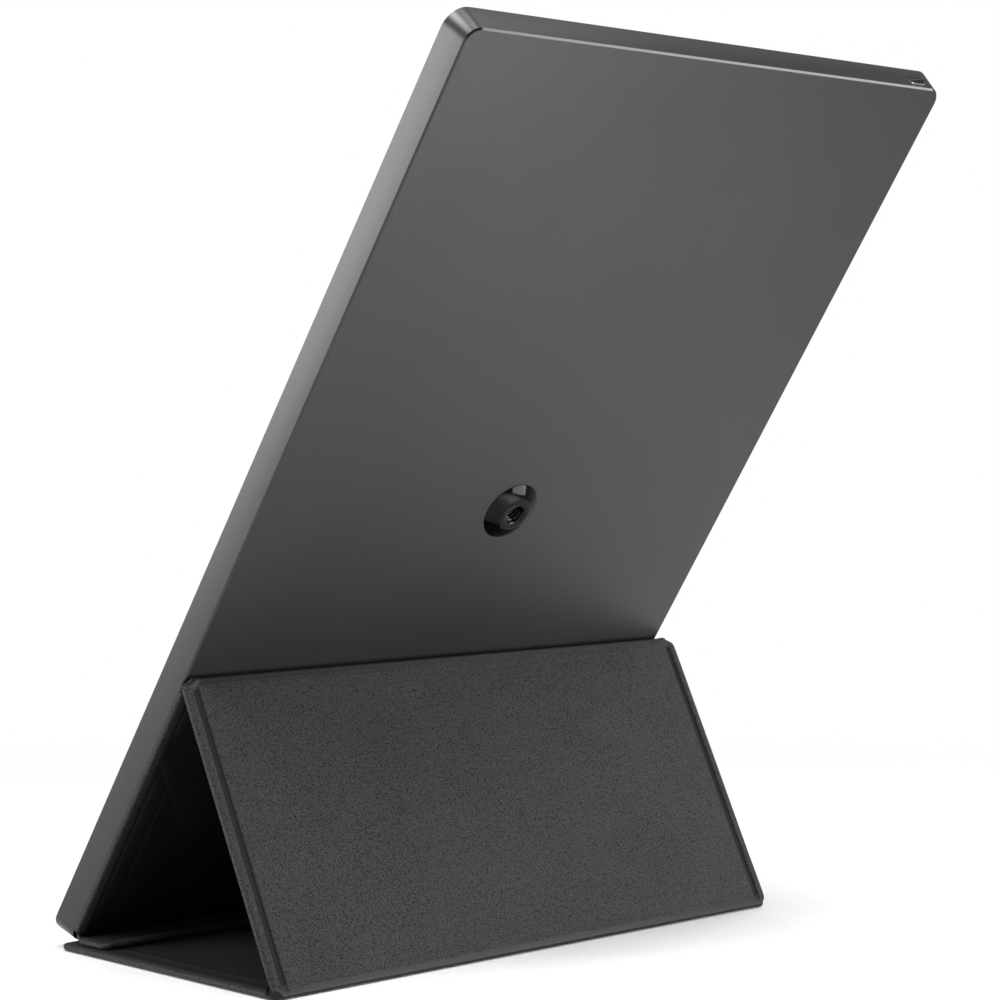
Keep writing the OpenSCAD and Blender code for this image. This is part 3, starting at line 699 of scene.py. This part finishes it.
EDGE_RINGS = (
    # How far in from the edge, height over the leather face, and corner radius: from the end of
    # the turned edge, round the rim, through the pressed groove and out to the face on the board.
    (3.25, 2.02, 1.6), (3.05, 2.26, 1.7), (1.2, 2.3, 2.6), (0.5, 2.12, 3.1), (0.12, 1.7, 3.4),
    (0, 1.15, 3.5), (0.12, 0.6, 3.4), (0.5, 0.18, 3.1), (1.1, 0.0, 2.8), (2.7, 0.0, 2.4),
    (3.15, 0.05, 2.3), (3.4, 0.3, 2.2), (3.65, 0.52, 2.1), (3.95, 0.58, 2.1), (5.2, 0.58, 2.0),
    (5.5, 0.5, 2.0), (5.75, 0.2, 2.0), (6.0, 0.04, 2.0), (6.4, 0.0, 2.0),
)
GROOVE = (3.3, 5.85)  # where the pressed groove starts and ends, in from the edge
PAST_FOLD = 6.9  # the rims run straight out this far past a fold, before they are cut there
SHEET_T = 0.35
LINING_INSET = 3.3
LINING_FACE = 2.2  # over this height lies the lining's flat face
LINE_W = 1.6
LINE_D = 0.28
LINE_FADE = 2  # a pressed line fades out over this distance on both sides of its end


def end_at_folds(low, high, low_fold, high_fold):
    """Cuts the open mesh off straight where its panel ends at a fold."""
    for fold, y, side in ((low_fold, low, -1), (high_fold, high, 1)):
        if fold:
            everything()
            bpy.ops.mesh.bisect(
                plane_co=(0, y * MM, 0), plane_no=(0, side, 0), clear_outer=True
            )


def leather_panel(name, node, body, where, width, low, high, low_fold, high_fold):
    """Leather over a board: a turned edge, a pressed groove, and the raised board."""
    box = (-width / 2, low - PAST_FOLD * low_fold, width / 2, high + PAST_FOLD * high_fold)
    obj = lofted(name, [(*set_in(box, by), z, r) for by, z, r in EDGE_RINGS])
    edit(obj)
    end_at_folds(low, high, low_fold, high_fold)
    leave()
    use(obj, "SOLIDIFY", thickness=SHEET_T * MM, offset=-1)
    smooth(obj, 40)
    finish_piece(obj, "cover_leather", LEATHER, PRESSED_SHADED_LEATHER)
    left, foot, right, head = (edge * MM for edge in box)
    for face in obj.data.polygons:
        x, y, z = face.center
        inward = min(x - left, right - x, y - foot, head - y) / MM
        outside = z < 0.9 * MM
        # The groove's outer faces get the near-black leather: partly the pressing's own tone, partly painted shade
        # in the groove.
        face.material_index = int(GROOVE[0] < inward < GROOVE[1] and outside)
    put(obj, where)
    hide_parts(node)
    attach(obj, body)


def lining_panel(name, node, body, where, width, low, high, low_fold, high_fold, lines):
    """Lining inside the turned edge, with lines pressed into it by a hot bar."""
    past_fold = 5
    box = (
        -width / 2 + LINING_INSET, low - past_fold if low_fold else low + LINING_INSET,
        width / 2 - LINING_INSET, high + past_fold if high_fold else high - LINING_INSET,
    )
    rings = ((0, 1.98, 1.6), (0.02, 2.16, 1.6), (0.4, 2.27, 1.4))  # as in EDGE_RINGS
    obj = lofted(name, [(*set_in(box, by), z, r) for by, z, r in rings])
    edit(obj)
    end_at_folds(low, high, low_fold, high_fold)
    for start, end in lines:
        cut_line(Vector((*start, 0)), Vector((*end, 0)))
    mesh = bmesh.from_edit_mesh(obj.data)
    for vertex in mesh.verts:
        if vertex.co.z / MM > LINING_FACE:
            vertex.co.z -= max(pressed(vertex.co / MM, *line) for line in lines) * MM
    bmesh.update_edit_mesh(obj.data)
    everything()
    bpy.ops.mesh.quads_convert_to_tris()
    leave()
    use(obj, "SOLIDIFY", thickness=SHEET_T * MM, offset=-1)
    smooth(obj, 40)
    finish_piece(obj, "cover_lining")
    put(obj, where)
    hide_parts(node)
    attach(obj, body)


def cut_line(start, end):
    """Cuts the open mesh along a line and over its ends, so that the line can be pressed in."""
    along = (end - start).normalized()
    across = Vector((-along.y, along.x, 0))
    for side in (-1, -0.55, 0, 0.55, 1):
        everything()
        point = start + across * side * LINE_W / 2
        bpy.ops.mesh.bisect(plane_co=point * MM, plane_no=across)
    for stop in (start, end):
        for step in (-LINE_FADE, 0, LINE_FADE):
            everything()
            bpy.ops.mesh.bisect(plane_co=(stop + along * step) * MM, plane_no=along)


def pressed(at, start, end):
    """How deep a pressed line goes at a point: full in its middle, fading over its ends."""
    start, end = Vector((*start, 0)), Vector((*end, 0))
    along = (end - start).normalized()
    way = Vector((at.x, at.y, 0)) - start
    run, off = way.dot(along), abs(way.cross(along).z)
    if off >= LINE_W / 2:
        return 0
    length = (end - start).length
    fade = min(1, max(0, (min(run, length - run) + LINE_FADE) / (2 * LINE_FADE)))
    return LINE_D * fade * (0.5 + 0.5 * math.cos(2 * math.pi * off / LINE_W))


HEM_STATIONS = (
    # How far in from the fold's side, the leather's and the lining's share of a full turned edge,
    # and how deep the panels' pressed groove runs on.
    (0, 0.0, 0.0, 0), (0.06, 0.35, 0.35, 0), (0.3, 0.72, 0.72, 0), (0.8, 0.95, 0.95, 0),
    (1.3, 1.0, 1.0, 0), (2.5, 1.0, 1.0, 0), (3.0, 0.9, 1.0, 0), (3.3, 0.6, 0.85, 0.25),
    (3.7, 0.15, 0.35, 0.58), (4.1, 0.0, 0.0, 0.64), (5.2, 0.0, 0.0, 0.64), (5.6, 0.0, 0.0, 0.45),
    (5.9, 0.0, 0.0, 0.12), (6.3, 0.0, 0.0, 0),
)


def ease(at, start, end):
    t = min(1, max(0, (at - start) / (end - start)))
    return t * t * (3 - 2 * t)


HEM_END = 2.6  # in from the fold's side, where the turned edge starts to thin out
FOLD_ROUND = 3.3  # how far from the axis the fold's ends start to round off
FOLD_REACH = 4.3  # how far a fold's strip runs from the axis, onto its panels
BEND_R = 1.6  # the leather is stretched this near the axis, and its faces here get the painted fold shade
BEND_STEPS = 10
BLEND_REACH = 2  # this far from the axis along each panel, the fold strip takes two points, which nothing uses


def across_fold(legs, outer, inner, bulge, groove):
    """A section across a fold about its axis, as (Y, Z, side).
    Side runs from -1 at the first panel, over 0 at the bend, to 1 at the second."""
    a, b = (Vector((math.cos(math.radians(t)), math.sin(math.radians(t)))) for t in legs)
    middle = (a + b).normalized()
    out_a, out_b = (
        Vector((leg.y, -leg.x)) * (-1 if Vector((leg.y, -leg.x)).dot(middle) > 0 else 1)
        for leg in (a, b)
    )

    def beside(leg, out, off, swell, dip):
        for d in (FOLD_REACH, FOLD_ROUND, 2.4, BEND_R):
            side = math.sqrt(1 - (1 - min(d, FOLD_ROUND) / FOLD_ROUND) ** 2)
            height = off + swell * (1 - ease(d, 1.2, 3.2)) - dip * ease(d, BEND_R, 2.9)
            yield leg * d + out * height, side

    def turn(radius, first, last):
        for k in range(BEND_STEPS + 1):
            yield first.slerp(last, k / BEND_STEPS) * radius, 0

    outside = [(p, -side) for p, side in beside(a, out_a, outer, bulge, groove)]
    outside += turn(outer + bulge, out_a, out_b)
    outside += reversed(list(beside(b, out_b, outer, bulge, groove)))
    inside = list(beside(b, out_b, inner, 0, 0))
    if inner > 0.01:
        inside += turn(inner, out_b, out_a)
    else:
        # The two insides meet in a corner, and a curve rounds it off from 0.9 mm before it.
        near = -inner / math.tan(middle.angle(a)) + 0.9
        start, end = b * near + out_b * inner, a * near + out_a * inner
        corner = middle * (-inner / math.sin(middle.angle(a)))
        for k in range(BEND_STEPS + 1):
            t = k / BEND_STEPS
            inside.append(((1 - t) ** 2 * start + 2 * t * (1 - t) * corner + t * t * end, 0))
    inside += [(p, -side) for p, side in reversed(list(beside(a, out_a, inner, 0, 0)))]
    return [(p.x, p.y, side) for p, side in outside + inside]


def fold_strip(name, node, axis, widths, legs, bare, full, bulge):
    """A fold without a board, with turned edges that run on from the panels' own.
    Widths are at the first panel, at the bend and at the second. Legs are the panels' directions
    from the axis. Bare and full are the distances of the leather and the lining from the axis, in
    the middle of the fold and at its turned edges."""
    centre = (full[0] + full[1]) / 2
    stations = []
    for inset, leather, lining, groove in HEM_STATIONS:
        if inset < HEM_END:
            outer = centre + (full[0] - centre) * leather
            inner = centre + (full[1] - centre) * lining
        else:
            outer = bare[0] + (full[0] - bare[0]) * leather
            inner = bare[1] + (full[1] - bare[1]) * lining
        swell = bulge * (1 - leather)
        stations.append((inset, across_fold(legs, outer, inner, swell, groove)))
    first, middle, last = (w / 2 for w in widths)
    obj = begin(name)
    mesh = bmesh.from_edit_mesh(obj.data)
    rings = []
    for hand, row in ((-1, stations), (1, stations[::-1])):
        for inset, section in row:
            ring = []
            for y, z, side in section:
                half = middle + abs(side) * ((first if side < 0 else last) - middle)
                x = hand * (half - inset)
                ring.append(mesh.verts.new(Vector((x, axis.x + y, axis.y + z)) * MM))
            rings.append(ring)
    for one, other in zip(rings, rings[1:]):
        for k in range(len(one)):
            mesh.faces.new((one[k - 1], one[k], other[k], other[k - 1]))
    mesh.faces.new(rings[0])
    mesh.faces.new(rings[-1])
    bmesh.update_edit_mesh(obj.data)
    everything()
    bpy.ops.mesh.normals_make_consistent(inside=False)
    leave()
    smooth(obj, 50)
    finish_piece(obj, "cover_leather", LEATHER, LINING, STRETCHED_SHADED_LEATHER)
    a, b = (Vector((0, math.cos(math.radians(t)), math.sin(math.radians(t)))) for t in legs)
    inward = (a + b).normalized()
    for face in obj.data.polygons:
        inside = face.normal.dot(inward) > 0.1 and abs(face.normal.x) < 0.5
        from_axis = face.center - Vector((face.center.x, *axis * MM))
        if inside and abs(face.center.x) / MM < middle - 3.2:  # between the turned edges
            face.material_index = 1
        # Faces within the bend get the darker leather: painted shade on the fold.
        elif max(from_axis.dot(a), from_axis.dot(b)) < BEND_R * MM:
            face.material_index = 2
    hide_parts(node)
    start, end = (Vector((0, *axis)) * MM + leg * BLEND_REACH * MM for leg in (a, b))
    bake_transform(obj)
    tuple(start)
    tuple(end)


rear_shell()
bezel()
camera_socket()
socket_contacts()

leather_panel(
    "rear_panel_leather", "rear_skin", "rear_panel", ON_REAR, COVER_W, REACH, REAR_LEN - REACH,
    1, 1,
)
leather_panel(
    "floor_panel_leather", "floor_skin", "floor_panel", ON_FLOOR, COVER_W, 0,
    FLOOR_LEN - COVER_T / 2 - REACH, 0, 1,
)
leather_panel(
    "inner_panel_leather", "inner_skin", "monitor", ON_INNER, INNER_W, REACH, INNER_LEN - REACH,
    1, 1,
)
leather_panel(
    "tab_leather", "tab_skin", "tab", ON_TAB, INNER_W, REACH, TAB_LEN, 1, 0,
)


def both_sides(*lines):
    return [
        ((side * x0, y0), (side * x1, y1))
        for side in (1, -1)
        for (x0, y0), (x1, y1) in lines
    ]


lining_panel(
    "rear_panel_lining", "rear_lining", "rear_panel", ON_REAR, COVER_W, REACH, REAR_LEN - REACH,
    1, 1, both_sides(((106, 14), (106, 92))),
)
lining_panel(
    "floor_panel_lining", "floor_lining", "floor_panel", ON_FLOOR, COVER_W, 0,
    FLOOR_LEN - COVER_T / 2 - REACH, 0, 1, both_sides(((106, 24), (106, 98))),
)
lining_panel(
    "inner_panel_lining", "inner_lining", "monitor", ON_INNER, INNER_W, REACH, INNER_LEN - REACH,
    1, 1,
    both_sides(
        ((110, 40), (110, 104)), ((103.3, 46), (103.3, 104)), ((110, 8), (110, 24)),
        ((114, 30), (60, 107)),
    ),
)
lining_panel(
    "tab_lining_sheet", "tab_lining", "tab", ON_TAB, INNER_W, REACH, TAB_LEN, 1, 0,
    both_sides(((65, 0), (79, 19))),
)

EASE = 0.08  # how much narrower a strip is than the panels it runs onto

fold_strip(
    "ridge_fold_strip", "ridge_crease", RIDGE,
    (INNER_W - EASE, 226, COVER_W - EASE), (270 - LEAN, -HEEL_ANGLE), (1.12, -0.5), (1.12, -1.12),
    -0.15,
)
fold_strip(
    "heel_fold_strip", "heel_crease", HEEL,
    (COVER_W - EASE, 229, COVER_W - EASE), (180 - HEEL_ANGLE, 180), (1.12, -0.5), (1.12, -1.12),
    -0.15,
)
fold_strip(
    "front_fold_strip", "front_crease", FRONT,
    (INNER_W - EASE, 226, INNER_W - EASE), (90 - LEAN, 0), (1.8, 0.6), (2.27, 0.03),
    0.0,
)

# ---- CAD nodes that stay ----

for name, node in frame["nodes"].items():
    if node.hide_render:
        continue
    node.data.materials.clear()
    node.data.materials.append(BY_SLOT[NODE_SLOTS[name]])

# ---- Studio ----


def studio_floor():
    """A matt white floor under the object that fades into the white room round it."""
    just_under = -0.2 * MM
    bpy.ops.mesh.primitive_plane_add(size=4, location=(0, 0, just_under))
    ground = bpy.context.object
    ground.name = "studio_floor"
    # Painted board, rolled matt white: even, with no gloss.
    paint = grained("matt_white_studio_paint", "#f0f0ef", "#f4f4f3", 4.0, (0.8, 0.9), depth=0.02)
    tree = paint.node_tree
    where = add(tree, "TexCoord").outputs["Object"]
    middle = (0.25, 0.25, 0.0)
    away = add(tree, "VectorMath", {0: where, 1: middle}, operation="DISTANCE").outputs["Value"]
    near, far = 0.6, 0.95  # metres from the middle where the fade starts and ends
    fade = add(
        tree, "MapRange", {0: away, 1: near, 2: far}, interpolation_type="SMOOTHSTEP"
    ).outputs[0]
    solid, clear = tree.nodes["Principled BSDF"].outputs[0], add(tree, "BsdfTransparent").outputs[0]
    mixed = add(tree, "MixShader", {0: fade, 1: solid, 2: clear})
    tree.links.new(mixed.outputs[0], tree.nodes["Material Output"].inputs["Surface"])
    ground.data.materials.append(paint)


def studio_room(seen, lighting):
    """A room that looks white and lights the object faintly from all sides."""
    world = bpy.data.worlds.new("studio")
    bpy.context.scene.world = world
    world.use_nodes = True
    tree = world.node_tree
    direct = add(tree, "LightPath").outputs["Is Camera Ray"]
    strength = add(tree, "MapRange", {0: direct, 3: lighting, 4: seen}).outputs[0]
    tree.nodes["Background"].inputs["Color"].default_value = (1, 1, 1, 1)
    tree.links.new(strength, tree.nodes["Background"].inputs["Strength"])


def softbox(name, at, toward, size, power, spread=180):
    """A rectangular lamp, hidden from the camera. Places and sizes are in metres."""
    light = bpy.data.lights.new(name, "AREA")
    light.shape = "RECTANGLE"
    light.size, light.size_y = size
    light.energy = power
    light.spread = math.radians(spread)
    obj = bpy.data.objects.new(name, light)
    obj.location = at
    obj.rotation_euler = (Vector(toward) - Vector(at)).to_track_quat("-Z", "Y").to_euler()
    obj.visible_camera = False
    bpy.context.scene.collection.objects.link(obj)


studio_floor()
studio_room(seen=1.0, lighting=0.4)
# The side, the whole from above, the top edge, and the corner between side and top edge.
softbox("left_softbox", (1.5, -0.75, 0.35), (0.1, 0.0, 0.2), (0.9, 0.9), 25)
softbox("overhead_softbox", (0.05, 0.5, 1.6), (0.0, 0.1, 0.1), (0.6, 0.6), 9)
softbox("top_softbox", (-0.67, 0.13, 1.34), (0.1, 0.2, 0.3), (0.3, 0.3), 0.9)
softbox("corner_softbox", (0.45, 0.15, 0.85), (0.1, 0.2, 0.3), (0.3, 0.3), 5.5)
# The floor that the back reflects, and the object's shadow at its right foot.
softbox("floor_softbox", (-0.1, 0.52, 0.55), (-0.1, 0.55, 0.0), (0.2, 0.2), 2.2, spread=58)
softbox("shadow_softbox", (-0.42, -0.05, 0.16), (-0.17, 0.1, 0.0), (0.2, 0.2), 0.14, spread=80)
# The bright line along the top chamfer, and the cover from low in front of it.
softbox("edge_softbox", (-0.99, 0.9, 0.76), (0.0, 0.2, 0.3), (0.65, 0.25), 4)
softbox("low_softbox", (-0.58, 0.93, 0.2), (0.0, 0.1, 0.15), (0.75, 0.4), 9)

# The camera was fitted to the photograph's edges.
YAW, PITCH, ROLL = math.radians(44.517), math.radians(-0.138), math.radians(0.155)
FOCAL_PX = 2697.9
PRINCIPAL = (552.0, 411.6)
IMAGE = 1000  # pixels
SENSOR = 36  # millimetres

camera_data = bpy.data.cameras.new("camera")
camera = bpy.data.objects.new("camera", camera_data)
bpy.context.scene.collection.objects.link(camera)
bpy.context.scene.camera = camera
camera_data.sensor_width = SENSOR
camera_data.lens = FOCAL_PX / IMAGE * SENSOR
camera_data.shift_x = 0.5 - PRINCIPAL[0] / IMAGE
camera_data.shift_y = PRINCIPAL[1] / IMAGE - 0.5
camera_data.clip_start = 0.01
camera.location = (0.6428, 0.7174, 0.1812)
look = Vector(
    (-math.sin(YAW) * math.cos(PITCH), -math.cos(YAW) * math.cos(PITCH), -math.sin(PITCH))
)
camera.rotation_mode = "QUATERNION"
camera.rotation_quaternion = Quaternion(look, ROLL) @ look.to_track_quat("-Z", "Y")

bpy.context.scene.view_settings.view_transform = "Standard"
